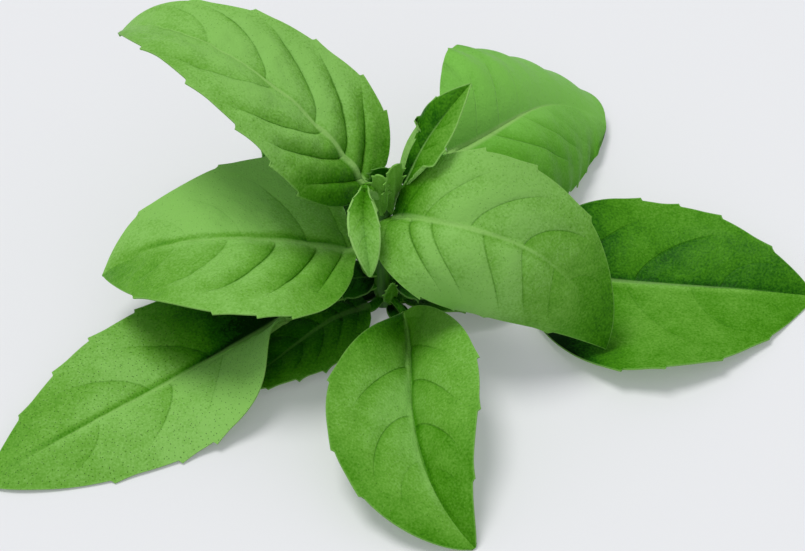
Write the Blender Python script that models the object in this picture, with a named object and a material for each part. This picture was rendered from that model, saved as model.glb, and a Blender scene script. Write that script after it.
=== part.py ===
# A cut basil sprig: a short squarish stem with its growing tip, eight large leaves, two
# small ones and two young ones, resting on its lower leaves and on the cut end of the stem.
# Lengths are in millimetres and angles in degrees; the meshes are made in metres.
# A heading of 0 points along +X and 90 along +Y, and a pitch is the rise of the midrib.
# Values in threes hold at a leaf's base, middle and tip, values in twos at base and tip.
# A base fold is the extra fold of the left and right halves where the blade begins.
# The stalk gap is how far a stalk's root stays clear of the stem's corners.
import math

import bmesh
import bpy
import numpy as np

MM = 0.001
STALK_GAP = 0.9

STEM_HEIGHT = 29.5
STEM_WIDTH_FOOT = 3.4
STEM_WIDTH_TOP = 2.3
STEM_LEAN = 0.035
STEM_BOW = 1.2
STEM_CORNER = 0.1
STEM_SIDES = 12
STEM_RINGS = 20
JOINT_HEIGHTS = (4.5, 21.0, 28.5)
JOINT_SWELL = 0.3
JOINT_REACH = 1.6

BLADE_THICKNESS = 0.7
RIB_DEPTH = 0.6
STALK_WIDTH = 1.9
STALK_ROOT = 0.06
TIP_WIDTH = 0.5
FIRST_VEIN = 0.05
LAST_VEIN = 0.955
BASE_FOLD_REACH = 0.06
VEIN_SWEEP = 0.22
QUILT_HEIGHT = 0.5
TOOTH_DEPTH = 0.6
MARGIN_TRIM = 0.3
MIDRIB_STEPS = 200

# How finely a leaf is divided: its side veins, and the points from its midrib to its edge.
LARGE_DETAIL = dict(veins=7, across=(0.0, 0.07, 0.3, 0.55, 0.8, 1.0), scale=1.0)
YOUNG_DETAIL = dict(veins=6, across=(0.0, 0.15, 0.4, 0.7, 1.0), scale=0.5)
BUD_DETAIL = dict(veins=3, across=(0.0, 0.5, 1.0), scale=0.4)

LARGE_LEAVES = {
    "leaf_upper_left": dict(
        joint=21.0, base=(-3.0, 4.5, 24.0), length=65.5, width=29.5,
        heading=(155, 150, 130), pitch=(60, 15, -55), roll=(-15, 20, -15),
        fold_left=(10, 15), fold_right=(10, 20), curl_left=-45, curl_right=0,
        widest=0.32, taper=1.0, share_left=0.96, share_right=1.04,
    ),
    "leaf_left": dict(
        joint=8.5, base=(-5.2, -2.2, 15.3), length=49.0, width=39.5,
        heading=(185, 180, 175), pitch=(25, -5, -50), roll=(-5, 5, -5),
        fold_left=(5, 5), fold_right=(-5, 10), curl_left=-5, curl_right=0,
        widest=0.37, taper=0.95, share_left=1.06, share_right=(1.5, 1.02, 1.18),
    ),
    "leaf_center_right": dict(
        joint=22.0, base=(1.9, -3.3, 24.5), length=56.0, width=27.5,
        heading=(-62, -1, -41), pitch=(55, -35, -68), roll=(7, 24, 13), base_fold=(-5, 35),
        fold_left=(36, 17, 20), fold_right=(5, -5), curl_left=-11, curl_right=-91,
        widest=0.38, taper=0.96, share_left=1.01, share_right=1.21,
    ),
    "leaf_front": dict(
        joint=3.5, base=(3.4, -6.0, 3.1), length=53.0, width=28.5,
        heading=(-81, -84, -40), pitch=(5, 0, -25), roll=(5, 10, 20),
        fold_left=(65, 36), fold_right=(60, 22), curl_left=-42, curl_right=-13,
        widest=0.49, taper=0.73, share_left=(1.14, 1.03, 0.66), share_right=(0.64, 1.13, 0.86),
    ),
    "leaf_lower_left": dict(
        joint=5.5, base=(-17.5, -9.0, 5.7), length=62.0, width=35.0,
        heading=(195, 220, 205), pitch=(-30, 5, -20), roll=(15, -5, -5),
        fold_left=(40, -10), fold_right=(20, -10), curl_left=-30, curl_right=-15,
        widest=0.31, taper=0.8, share_left=0.98, share_right=0.98,
    ),
    "leaf_small_left": dict(
        joint=2.0, base=(-3.0, -3.6, 2.4), length=32.0, width=16.0,
        heading=(200, 222, 208), pitch=(12, -8, 3), roll=(0, 0, 5),
        fold_left=(5, 20), fold_right=(0, -5), curl_left=-25, curl_right=-10,
        widest=0.36, taper=0.9, share_left=1.08, share_right=(2.0, 1.3, 1.2),
    ),
    "leaf_back_right": dict(
        joint=8.5, base=(11.5, 18.5, 19.2), length=46.9, width=34.0,
        heading=(20, 52, 5), pitch=(15, -25, -47), roll=(6, 15, 0),
        fold_left=(72, 13), fold_right=(5, -5), curl_left=-82, curl_right=-65,
        widest=0.49, taper=0.51, share_left=(1.34, 1.12, 1.5), share_right=1.0,
    ),
    "leaf_right": dict(
        joint=5.5, base=(24.0, 5.1, 3.9), length=55.0, width=42.5,
        heading=(0, -5, -6), pitch=(-18, 0, -5), roll=(10, -5, 10),
        fold_left=(38, 38), fold_right=(-5, 0), curl_left=-47, curl_right=15,
        widest=0.42, taper=0.95, share_left=0.84, share_right=1.2,
    ),
    "leaf_small_right": dict(
        joint=2.0, base=(3.4, -1.2, 2.2), length=21.0, width=10.0,
        heading=(-2, -6, 0), pitch=(8, 0, -12), roll=(-5, -5, -5),
        fold_left=(10, 5), fold_right=(15, 10), curl_left=-15, curl_right=-15,
        widest=0.38, taper=0.8, share_left=(3.0, 2.0, 1.4), share_right=0.85,
    ),
    "leaf_back_left": dict(
        joint=2.8, base=(-3.5, 9.0, 4.6), length=43.0, width=23.0,
        heading=(117, 114, 110), pitch=(10, -8, -20), roll=(0, 0, 0),
        fold_left=(15, 5), fold_right=(15, 5), curl_left=-20, curl_right=-20,
        widest=0.4, taper=0.9, share_left=1.0, share_right=0.75,
    ),
}

YOUNG_LEAVES = {
    "young_leaf_back": dict(
        joint=28.5, base=(3.7, 0.3, 29.7), length=22.0, width=9.6,
        heading=(38, 28, 50), pitch=(65, 55, 20), roll=(-10, -4, 10),
        fold_left=(45, 40), fold_right=(30, 20), curl_left=-86, curl_right=-43,
        widest=0.45, taper=0.9, share_left=(0.9, 1.05, 0.92), share_right=(0.6, 1.1, 0.68),
    ),
    "young_leaf_front": dict(
        joint=28.5, base=(-3.3, -0.8, 30.8), length=17.0, width=6.5,
        heading=(-100, -83, -80), pitch=(-5, -30, -65), roll=(5, 5, 5),
        fold_left=(60, 50), fold_right=(50, 55), curl_left=-30, curl_right=-45,
        widest=0.5, taper=0.9, share_left=1.15, share_right=1.15,
    ),
}

# Leaflets of the growing tip, fused with the stem: blunt and wrapped upright round its end.
# Their roots start inside the stem, at the height of their joint.
BUD_LEAFLET = dict(
    roll=(0, 0, 0), fold_left=(12, 5), fold_right=(12, 5), curl_left=-20, curl_right=-20,
    widest=0.6, taper=0.32, share_left=1.0, share_right=1.0,
)
LEAFLETS = (
    dict(BUD_LEAFLET, joint=21.4, base=(0.9, -0.5, 24.2), length=12.2, width=3.0,
         heading=(-60, -60, -60), pitch=(78, 87, 93), roll=(10, 10, 10)),
    dict(BUD_LEAFLET, joint=21.4, base=(0.0, -1.4, 24.4), length=10.0, width=2.4,
         heading=(-112, -112, -112), pitch=(78, 87, 92)),
    dict(BUD_LEAFLET, joint=22.4, base=(-0.5, 1.6, 25.5), length=6.2, width=4.2,
         heading=(100, 100, 100), pitch=(70, 82, 88)),
)

LARGE_LEAF_COLOR = (0.13, 0.33, 0.05)
YOUNG_LEAF_COLOR = (0.20, 0.42, 0.09)
STEM_COLOR = (0.16, 0.34, 0.07)


def clear_scene():
    for item in list(bpy.data.objects):
        bpy.data.objects.remove(item, do_unlink=True)


def plain_material(name, color, roughness):
    material = bpy.data.materials.new(name)
    material.use_nodes = True
    shader = material.node_tree.nodes["Principled BSDF"]
    shader.inputs["Base Color"].default_value = (*color, 1.0)
    shader.inputs["Roughness"].default_value = roughness
    shader.inputs["Metallic"].default_value = 0.0
    return material


def closed_object(name, points, faces, material):
    mesh = bpy.data.meshes.new(name)
    mesh.from_pydata([tuple(point * MM) for point in points], [], faces)
    work = bmesh.new()
    work.from_mesh(mesh)
    bmesh.ops.recalc_face_normals(work, faces=work.faces)
    work.to_mesh(mesh)
    work.free()
    mesh.materials.append(material)
    mesh.shade_smooth()
    mesh.set_sharp_from_angle(angle=math.radians(50))
    piece = bpy.data.objects.new(name, mesh)
    bpy.context.scene.collection.objects.link(piece)
    return piece


def along(values, t):
    if not isinstance(values, tuple):
        return values
    if len(values) == 2:
        return values[0] * (1 - t) + values[1] * t
    base, middle, tip = values
    return base * (1 - t) * (1 - 2 * t) + middle * 4 * t * (1 - t) + tip * t * (2 * t - 1)


def midrib_frame(leaf, t):
    # Point on the midrib, then the leaf's left and its upper side there.
    steps = np.linspace(0, 1, MIDRIB_STEPS + 1)
    heading = np.radians(along(leaf["heading"], steps))
    pitch = np.radians(along(leaf["pitch"], steps))
    forward = np.stack([np.cos(pitch) * np.cos(heading), np.cos(pitch) * np.sin(heading), np.sin(pitch)], 1)
    moves = (forward[1:] + forward[:-1]) / 2 * leaf["length"] / MIDRIB_STEPS
    path = np.vstack([np.zeros(3), np.cumsum(moves, axis=0)]) + np.array(leaf["base"])
    point = np.stack([np.interp(t, steps, path[:, axis]) for axis in range(3)], -1)

    heading = np.radians(along(leaf["heading"], t))
    pitch = np.radians(along(leaf["pitch"], t))
    roll = np.radians(along(leaf["roll"], t))[..., None]
    level_left = np.stack([-np.sin(heading), np.cos(heading), np.zeros_like(heading)], -1)
    level_up = np.stack([-np.sin(pitch) * np.cos(heading), -np.sin(pitch) * np.sin(heading), np.cos(pitch)], -1)
    left = np.cos(roll) * level_left + np.sin(roll) * level_up
    up = np.cos(roll) * level_up - np.sin(roll) * level_left
    return point, left, up


def half_width(leaf, t):
    # Ovate outline that comes to nothing at both ends.
    widest = leaf["widest"]
    taper = leaf["taper"]
    swell = taper * widest / (1 - widest)
    crest = widest ** swell * (1 - widest) ** taper
    return leaf["width"] / 2 * t ** swell * (1 - t) ** taper / crest


def both_sides(detail):
    share = np.array(detail["across"])
    return np.concatenate([-share[:0:-1], share])


def blade_row(leaf, detail, u, is_crest):
    # One row of points from the right edge to the left one, swept forward as the side
    # veins are. A row lies on a vein, or halfway between two of them on the crest.
    scale = detail["scale"]
    sides = both_sides(detail)
    reach = np.abs(sides)
    hand = np.sign(sides)
    t = np.clip(u + VEIN_SWEEP * u ** 0.4 * (1 - u) * reach ** 1.3, 0, 1)
    point, left, up = midrib_frame(leaf, t)

    side_share = np.where(hand > 0, along(leaf["share_left"], t), along(leaf["share_right"], t))
    half = half_width(leaf, t) * side_share
    narrow = (STALK_WIDTH * scale * (1 - t) + TIP_WIDTH * t) / 2
    tooth = TOOTH_DEPTH * scale * reach ** 6 * is_crest * np.minimum(1, half / (6 * scale))
    trim = MARGIN_TRIM * scale * np.minimum(1, half / (6 * scale))
    distance = reach * (np.sqrt(half ** 2 + narrow ** 2) - trim) + tooth

    fold = np.where(hand > 0, along(leaf["fold_left"], t), along(leaf["fold_right"], t))
    base_fold = leaf.get("base_fold", (0, 0))
    fold = fold + np.where(hand > 0, base_fold[0], base_fold[1]) * np.exp(-t / BASE_FOLD_REACH)
    fold = fold * np.minimum(1, half / BLADE_THICKNESS)
    curl = np.where(hand > 0, leaf["curl_left"], leaf["curl_right"])
    bend = np.radians(fold + curl * distance / leaf["width"])
    across = (hand * distance * np.cos(bend))[:, None] * left
    rise = (distance * np.sin(bend))[:, None] * up
    puff = QUILT_HEIGHT * scale * is_crest * np.sin(np.pi * reach ** 0.85) ** 0.8
    puff = puff * np.minimum(1, half / (8 * scale))
    return point + across + rise, puff


def stalk_path(start, leaf, rows, rises):
    # Centre points of the stalk, from the stem to the base of the blade. A leaf's stalk
    # leaves the stem level, and a leaflet's root rises straight on to its base.
    base = np.array(leaf["base"])
    base_t = np.array([0.0])
    left = midrib_frame(leaf, base_t)[1][0]
    up = midrib_frame(leaf, base_t)[2][0]
    forward = np.cross(left, up)
    outward = (base - start) * (1, 1, rises)
    outward = outward / np.linalg.norm(outward)
    level_left = np.array([-outward[1], outward[0], 0.0])
    level_left = level_left / np.linalg.norm(level_left)
    reach = np.linalg.norm(base - start) / 3
    points = []
    lefts = []
    for k in [0.0, STALK_ROOT] + [row / rows for row in range(1, rows)]:
        handles = (start, start + outward * reach, base - forward * reach, base)
        weights = ((1 - k) ** 3, 3 * k * (1 - k) ** 2, 3 * k * k * (1 - k), k ** 3)
        points.append(sum(w * h for w, h in zip(weights, handles)))
        lefts.append((1 - k) * level_left + k * left)
    return points, lefts


def stem_center(height):
    bow = STEM_BOW * math.sin(math.pi * height / STEM_HEIGHT)
    return np.array([STEM_LEAN * height - bow, 0.0, height])


def stem_half_width(height):
    share = height / STEM_HEIGHT
    half = (STEM_WIDTH_FOOT * (1 - share) + STEM_WIDTH_TOP * share) / 2
    swell = sum(math.exp(-((height - joint) / JOINT_REACH) ** 2) for joint in JOINT_HEIGHTS)
    return half + JOINT_SWELL * swell


def stalk_start(leaf):
    center = stem_center(leaf["joint"])
    outward = np.array(leaf["base"]) - center
    outward[2] = 0
    outward = outward / np.linalg.norm(outward)
    clear = stem_half_width(leaf["joint"]) * (1 + STEM_CORNER) + STALK_GAP
    return center + outward * clear


def leaf_points(leaf, detail, start, rises):
    # The leaf is lofted through rows: the round rows of the stalk, then the thin rows
    # of the blade. Returns the upper and lower points of each row.
    scale = detail["scale"]
    sides = both_sides(detail)
    stalk_length = np.linalg.norm(np.array(leaf["base"]) - start)
    stalk_rows = max(1, min(5, round(stalk_length / 3)))
    radius = STALK_WIDTH / 2 * scale
    middles = []
    puffs = []
    flatness = []
    for center, left in zip(*stalk_path(start, leaf, stalk_rows, rises)):
        middles.append(center + np.outer(sides * radius, left))
        puffs.append(np.zeros(len(sides)))
        flatness.append(0.0)

    rows = [(0.0, 0), (FIRST_VEIN / 2, 0)]
    spacing = (LAST_VEIN - FIRST_VEIN) / detail["veins"]
    for vein in range(detail["veins"]):
        u = FIRST_VEIN + vein * spacing
        rows.append((u, 0))
        rows.append((u + spacing / 2, 1))
    rows += [(LAST_VEIN, 0), (1.0, 0)]
    for u, is_crest in rows:
        middle, puff = blade_row(leaf, detail, u, is_crest)
        middles.append(middle)
        puffs.append(puff)
        flatness.append(min(1.0, u / (1.5 * FIRST_VEIN)))

    middles = np.array(middles)
    puffs = np.array(puffs)
    flatness = np.array(flatness)[:, None]
    normals = np.cross(np.gradient(middles, axis=0), np.gradient(middles, axis=1))
    normals /= np.linalg.norm(normals, axis=2, keepdims=True)

    half = BLADE_THICKNESS / 2
    round_half = np.maximum(radius * np.sqrt(1 - sides ** 2), half)
    thick = round_half * (1 - flatness) + half * flatness
    fade = np.linspace(1, 0.2, len(middles))[:, None]
    rib = RIB_DEPTH * scale * np.clip(1 - np.abs(sides) / 0.25, 0, 1) * flatness * fade
    upper = middles + normals * (thick + puffs)[..., None]
    lower = middles - normals * (thick - puffs + rib)[..., None]
    return upper, lower


def rest_on_table(upper, lower):
    # What would dip through the table is pressed flat against it instead.
    lower[..., 2] = np.maximum(lower[..., 2], 0.0)
    upper[..., 2] = np.maximum(upper[..., 2], BLADE_THICKNESS)


def leaf_faces(rows, columns):
    # Both sides of the blade are split along the same diagonals.
    count = rows * columns
    faces = []
    for row in range(rows - 1):
        for column in range(columns - 1):
            a = row * columns + column
            b = a + 1
            c = a + columns
            d = c + 1
            faces += [(a, c, d), (a, d, b)]
            faces += [(a + count, d + count, c + count), (a + count, b + count, d + count)]
        for edge in (0, columns - 1):
            a = row * columns + edge
            c = a + columns
            faces += [(a, a + count, c + count), (a, c + count, c)]
    for row in (0, rows - 1):
        for column in range(columns - 1):
            a = row * columns + column
            b = a + 1
            faces += [(a, b, b + count), (a, b + count, a + count)]
    return faces


def build_leaf(name, leaf, detail, start, material, rises=False):
    upper, lower = leaf_points(leaf, detail, start, rises)
    rest_on_table(upper, lower)
    rows, columns = upper.shape[:2]
    points = np.concatenate([upper.reshape(-1, 3), lower.reshape(-1, 3)])
    return closed_object(name, points, leaf_faces(rows, columns), material)


def build_stem(material):
    points = []
    for height in np.linspace(0, STEM_HEIGHT, STEM_RINGS):
        center = stem_center(height)
        half = stem_half_width(height)
        for side in range(STEM_SIDES):
            angle = 2 * math.pi * side / STEM_SIDES
            radius = half * (1 - STEM_CORNER * math.cos(4 * angle))
            points.append(center + radius * np.array([math.cos(angle), math.sin(angle), 0.0]))
    faces = []
    for ring in range(STEM_RINGS - 1):
        for side in range(STEM_SIDES):
            a = ring * STEM_SIDES + side
            b = ring * STEM_SIDES + (side + 1) % STEM_SIDES
            faces.append((a, b, b + STEM_SIDES, a + STEM_SIDES))
    faces.append(tuple(reversed(range(STEM_SIDES))))
    top = (STEM_RINGS - 1) * STEM_SIDES
    faces.append(tuple(range(top, top + STEM_SIDES)))
    return closed_object("stem", points, faces, material)


def build_leaflet(name, leaflet, material):
    return build_leaf(name, leaflet, BUD_DETAIL, stem_center(leaflet["joint"]), material, rises=True)


def fuse(main, others):
    # The stem and its leaflets are one body.
    group = bpy.data.collections.new("leaflets")
    for other in others:
        group.objects.link(other)
    union = main.modifiers.new("union", "BOOLEAN")
    union.operation = "UNION"
    union.operand_type = "COLLECTION"
    union.collection = group
    union.solver = "EXACT"
    evaluated = main.evaluated_get(bpy.context.evaluated_depsgraph_get())
    fused = bpy.data.meshes.new_from_object(evaluated)
    main.modifiers.remove(union)
    main.data = fused
    for other in others:
        bpy.data.objects.remove(other, do_unlink=True)
    bpy.data.collections.remove(group)


def center_over_origin(pieces):
    # The origin is under the middle of the sprig's bounding box, on the table.
    corners = np.concatenate([np.array([vertex.co for vertex in piece.data.vertices]) for piece in pieces])
    low = corners.min(axis=0)
    high = corners.max(axis=0)
    shift = np.array([(low[0] + high[0]) / 2, (low[1] + high[1]) / 2, low[2]])
    for piece in pieces:
        for vertex in piece.data.vertices:
            vertex.co = vertex.co[:] - shift


def build_sprig():
    clear_scene()
    leaf_green = plain_material("basil_leaf", LARGE_LEAF_COLOR, 0.5)
    young_green = plain_material("young_basil_leaf", YOUNG_LEAF_COLOR, 0.5)
    stem_green = plain_material("basil_stem", STEM_COLOR, 0.55)
    stem = build_stem(stem_green)
    leaflets = []
    for number, leaflet in enumerate(LEAFLETS):
        leaflets.append(build_leaflet(f"leaflet_{number}", leaflet, stem_green))
    fuse(stem, leaflets)
    pieces = [stem]
    for name, leaf in LARGE_LEAVES.items():
        pieces.append(build_leaf(name, leaf, LARGE_DETAIL, stalk_start(leaf), leaf_green))
    for name, leaf in YOUNG_LEAVES.items():
        pieces.append(build_leaf(name, leaf, YOUNG_DETAIL, stalk_start(leaf), young_green))
    center_over_origin(pieces)


build_sprig()
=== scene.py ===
import math

import bpy
import numpy as np
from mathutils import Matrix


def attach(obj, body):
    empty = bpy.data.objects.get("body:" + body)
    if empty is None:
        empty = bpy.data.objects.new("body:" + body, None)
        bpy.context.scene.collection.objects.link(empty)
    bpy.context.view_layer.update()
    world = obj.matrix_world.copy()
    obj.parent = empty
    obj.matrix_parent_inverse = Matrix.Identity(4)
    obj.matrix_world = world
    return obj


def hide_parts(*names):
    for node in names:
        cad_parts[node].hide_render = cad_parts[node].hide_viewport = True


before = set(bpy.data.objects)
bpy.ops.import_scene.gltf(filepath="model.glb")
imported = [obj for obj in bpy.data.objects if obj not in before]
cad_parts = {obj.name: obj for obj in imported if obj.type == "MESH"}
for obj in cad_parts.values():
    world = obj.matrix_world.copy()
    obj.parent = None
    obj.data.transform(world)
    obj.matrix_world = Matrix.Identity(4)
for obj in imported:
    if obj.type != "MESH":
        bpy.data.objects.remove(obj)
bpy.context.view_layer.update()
print("basil sprig: frame loaded")

# Leaf shapes are given in millimetres from the cut foot of the stem: a heading of 0 points
# along +X and 90 along +Y, a pitch is the rise of the midrib. Values in threes hold at a
# leaf's base, middle and tip, values in twos at its base and tip.
mm = 0.001
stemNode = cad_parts["stem"]
stemPoints = np.array([vertex.co[:] for vertex in stemNode.data.vertices])
foot = stemPoints[stemPoints[:, 2] < 0.01 * mm].mean(axis=0)


# Node helpers for the materials

def newMaterial(name):
    material = bpy.data.materials.new(name)
    material.use_nodes = True
    return material, material.node_tree, material.node_tree.nodes["Principled BSDF"]


def addNode(tree, kind, settings=None, inputs=None):
    node = tree.nodes.new(kind)
    for key, value in (settings or {}).items():
        setattr(node, key, value)
    for key, value in (inputs or {}).items():
        if isinstance(value, bpy.types.NodeSocket):
            tree.links.new(value, node.inputs[key])
        else:
            node.inputs[key].default_value = value
    return node


def mathNode(tree, operation, first, second=0.0, third=0.0):
    inputs = {0: first, 1: second, 2: third}
    return addNode(tree, "ShaderNodeMath", {"operation": operation}, inputs).outputs[0]


def leafValue(tree, name):
    return addNode(tree, "ShaderNodeAttribute", {"attribute_name": name}).outputs["Fac"]


def fade(tree, value, start, end):
    # 1 below start, falling smoothly to 0 at end
    node = addNode(tree, "ShaderNodeMapRange", {"interpolation_type": "SMOOTHSTEP"},
                   {"Value": value, "From Min": start, "From Max": end, "To Min": 1.0, "To Max": 0.0})
    return node.outputs[0]


def mixColors(tree, share, first, second):
    node = addNode(tree, "ShaderNodeMix", {"data_type": "RGBA"}, {0: share, 6: first, 7: second})
    return node.outputs[2]


def noise(tree, place, scale, detail=2.0, rough=0.5):
    inputs = {"Vector": place, "Scale": scale, "Detail": detail, "Roughness": rough}
    return addNode(tree, "ShaderNodeTexNoise", {}, inputs).outputs[0]


# Leaf surface: each leaf carries its own tones, with painted light and shade in them, and the
# finish adds mottled greens, fine grain, sunk side veins with a line painted along them, mostly
# dark as crease shade, a paler midrib and margin, and small dark oil glands

def leafFinish(name, look):
    material, tree, shader = newMaterial(name)
    place = addNode(tree, "ShaderNodeTexCoord").outputs["Object"]
    across = leafValue(tree, "toMidrib")
    alongLeaf = leafValue(tree, "alongLeaf")
    flat = addNode(tree, "ShaderNodeCombineXYZ", {}, {0: leafValue(tree, "fromBase"), 1: across}).outputs[0]

    clouds = noise(tree, place, look["mottleScale"], detail=5.0, rough=0.62)
    mottle = mathNode(tree, "SUBTRACT", clouds, 0.5)
    grain = mathNode(tree, "SUBTRACT", noise(tree, place, look["grainScale"]), 0.5)
    toneAndShade = mathNode(tree, "MULTIPLY_ADD", mottle, look["mottle"], leafValue(tree, "toneAndShade"))
    toneAndShade = mathNode(tree, "MULTIPLY_ADD", grain, look["grain"], toneAndShade)
    # The ramp turns the tones, painted light and shade included, into greens; the darkest greens are mostly
    # painted shade
    ramp = addNode(tree, "ShaderNodeValToRGB", {}, {0: toneAndShade})
    stops = ramp.color_ramp.elements
    stops[0].color = look["greens"][0]
    stops[1].color = look["greens"][4]
    for number in (1, 2, 3):
        stops.new(number / 4).color = look["greens"][number]
    color = ramp.outputs[0]

    # A line along the side veins in the vein colour: a dark green painted in the creases as their shade, or
    # in the smooth finish a paler green of the veins themselves
    phase = mathNode(tree, "PINGPONG", leafValue(tree, "veinPhase"), 0.5)
    sideVein = mathNode(tree, "MULTIPLY", phase, leafValue(tree, "veinGap"))
    line = fade(tree, sideVein, look["veinCore"], look["veinWidth"])
    line = mathNode(tree, "MULTIPLY", line, leafValue(tree, "veinShade"))
    color = mixColors(tree, mathNode(tree, "MULTIPLY", line, look["veinShare"]), color, look["vein"])

    glands = addNode(tree, "ShaderNodeTexVoronoi", {"voronoi_dimensions": "2D"},
                     {"Vector": flat, "Scale": look["glandScale"]})
    dot = fade(tree, glands.outputs["Distance"], look["glandCore"], look["glandSize"])
    chosen = addNode(tree, "ShaderNodeSeparateColor", {}, {0: glands.outputs["Color"]}).outputs[0]
    dot = mathNode(tree, "MULTIPLY", dot, fade(tree, chosen, look["glandShare"], look["glandShare"] + 0.01))
    color = mixColors(tree, mathNode(tree, "MULTIPLY", dot, look["glandTone"]), color, look["gland"])

    narrowing = mathNode(tree, "POWER", mathNode(tree, "SUBTRACT", 1.0, alongLeaf), look["ribTaper"])
    ribWidth = mathNode(tree, "MULTIPLY_ADD", narrowing, look["ribWidth"], look["ribTip"])
    ribDistance = mathNode(tree, "DIVIDE", mathNode(tree, "ABSOLUTE", across), ribWidth)
    rib = fade(tree, ribDistance, look["ribCore"], 1.0)
    rib = mathNode(tree, "MULTIPLY", rib, leafValue(tree, "ribShade"))
    color = mixColors(tree, rib, color, look["rib"])
    rim = fade(tree, leafValue(tree, "toMargin"), look["rimCore"], look["rimWidth"])
    color = mixColors(tree, mathNode(tree, "MULTIPLY", rim, look["rimShare"]), color, look["rib"])

    tree.links.new(color, shader.inputs["Base Color"])
    shader.inputs["Roughness"].default_value = look["roughness"]
    shader.inputs["Specular IOR Level"].default_value = look["gloss"]

    blisters = noise(tree, place, look["blisterScale"], detail=3.0)
    height = mathNode(tree, "MULTIPLY", blisters, look["blisterHeight"])
    height = mathNode(tree, "MULTIPLY_ADD", grain, look["grainHeight"], height)
    height = mathNode(tree, "MULTIPLY_ADD", line, look["veinHeight"], height)
    relief = {"Strength": look["bump"], "Distance": look["bumpDepth"] * mm, "Height": height}
    bump = addNode(tree, "ShaderNodeBump", {}, relief)
    tree.links.new(bump.outputs[0], shader.inputs["Normal"])
    return material


# Greens run from the darkest to the palest, and the darkest mostly stand for painted shade. A
# core is the part of a line, dot or rim that has its full color, in about millimetres or, for the
# midrib, as a share of its width
upperLook = dict(
    greens=((0.0005, 0.022, 0.0001, 1), (0.015, 0.118, 0.0003, 1), (0.062, 0.250, 0.005, 1),
            (0.140, 0.375, 0.037, 1), (0.240, 0.520, 0.105, 1)),
    # The dark vein green is painted shade in the vein creases
    vein=(0.035, 0.17, 0.004, 1), rib=(0.28, 0.54, 0.13, 1), gland=(0.01, 0.05, 0.002, 1),
    mottleScale=260.0, mottle=0.34, grainScale=2400.0, grain=0.5,
    veinCore=0.03, veinWidth=0.22, veinShare=0.3,
    glandScale=0.95, glandCore=0.04, glandSize=0.10, glandShare=0.4, glandTone=0.55,
    ribCore=0.35, ribWidth=1.0, ribTip=0.24, ribTaper=2.5, rimCore=0.08, rimWidth=0.28, rimShare=0.3,
    blisterScale=700.0, blisterHeight=0.5, grainHeight=0.35, veinHeight=-0.3, bump=0.7, bumpDepth=0.4,
    roughness=0.5, gloss=0.09,
)
leafGreen = leafFinish("basilLeafUpperSide", upperLook)

youngLook = dict(
    upperLook, veinShare=0.1, ribWidth=0.2, rimWidth=0.3, rimShare=0.8, glandShare=0.1,
    rib=(0.26, 0.53, 0.12, 1),
)
youngGreen = leafFinish("basilYoungLeaf", youngLook)

undersideLook = dict(
    upperLook, veinShare=0.0, glandShare=0.2, roughness=0.6,
    greens=((0.05, 0.18, 0.01, 1), (0.10, 0.28, 0.03, 1), (0.15, 0.38, 0.05, 1),
            (0.21, 0.46, 0.085, 1), (0.27, 0.53, 0.13, 1)),
)
leafUnderside = leafFinish("basilLeafUnderside", undersideLook)
youngUnderside = leafFinish("basilYoungUnderside", dict(undersideLook, ribWidth=0.3, glandShare=0.0))

budLook = dict(youngLook, veinShare=0.0, rimShare=0.35, glandShare=0.0, grain=0.3)
budGreen = leafFinish("basilBudLeaflet", budLook)

stalkLook = dict(
    light=(0.05, 0.19, 0.008, 1), mid=(0.025, 0.12, 0.003, 1), roughness=0.5,
    streakScale=1400.0, streakStretch=0.12, streakStart=0.35, streakEnd=0.65, bump=0.4, bumpDepth=0.2,
)


def stemFinish(name, look):
    material, tree, shader = newMaterial(name)
    place = addNode(tree, "ShaderNodeTexCoord").outputs["Object"]
    stretch = {"Vector": place, "Scale": (1.0, 1.0, look["streakStretch"])}
    stretched = addNode(tree, "ShaderNodeMapping", {}, stretch).outputs[0]
    streaks = noise(tree, stretched, look["streakScale"], detail=3.0)
    streaks = fade(tree, streaks, look["streakStart"], look["streakEnd"])
    tree.links.new(mixColors(tree, streaks, look["light"], look["mid"]), shader.inputs["Base Color"])
    shader.inputs["Roughness"].default_value = look["roughness"]
    relief = {"Strength": look["bump"], "Distance": look["bumpDepth"] * mm, "Height": streaks}
    bump = addNode(tree, "ShaderNodeBump", {}, relief)
    tree.links.new(bump.outputs[0], shader.inputs["Normal"])
    return material


stemGreen = stemFinish("basilStem", stalkLook)
print("basil sprig: finishes made")


# Leaf geometry

bladeSteps = 170  # rows of a large leaf
sideSteps = 36  # points from the midrib to the margin
midribSteps = 200  # steps in which a midrib is followed
noiseGrid = 64  # random heights each way before they repeat
toothRows = (-0.001, 0.004)  # extra rows just before and after a tooth's step
baseFoldReach = 0.06  # share of the length in which a base fold dies away
foldWidth = 0.7  # mm, half the width from which a blade is fully folded
wideBlade = 8  # mm, half the width from which waves and relief are full, on a leaf of size 1
narrowBlade = 6  # mm, half the width from which teeth are full, on a leaf of size 1
waveLag = 0.3  # of a wave, between each side and the midrib
tipWidth = 0.5  # mm, of the blade's end
marginTrim = 0.3  # mm, taken off the margin before the teeth are added
rimRunIn = 0.06  # share of the length in which a rolled rim begins and ends
rimBend = 0.35  # share of a rolled rim that is bent, the rest of it is flat
tableGap = 0.02  # mm, from the table to the lowest underside
lowestTop = 0.3  # mm, from the table to the lowest upper side
sharpAngle = 60  # degrees


def along(values, t):
    if not isinstance(values, tuple):
        return values
    if len(values) == 2:
        return values[0] * (1 - t) + values[1] * t
    base, middle, tip = values
    return base * (1 - t) * (1 - 2 * t) + middle * 4 * t * (1 - t) + tip * t * (2 * t - 1)


def sideValue(leaf, key, isLeft, t=0):
    # The value of the left or of the right side, along the leaf where it changes
    return np.where(isLeft, along(leaf[key + "Left"], t), along(leaf[key + "Right"], t))


def smooth(value, start, end):
    share = np.clip((value - start) / (end - start), 0, 1)
    return share * share * (3 - 2 * share)


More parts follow.
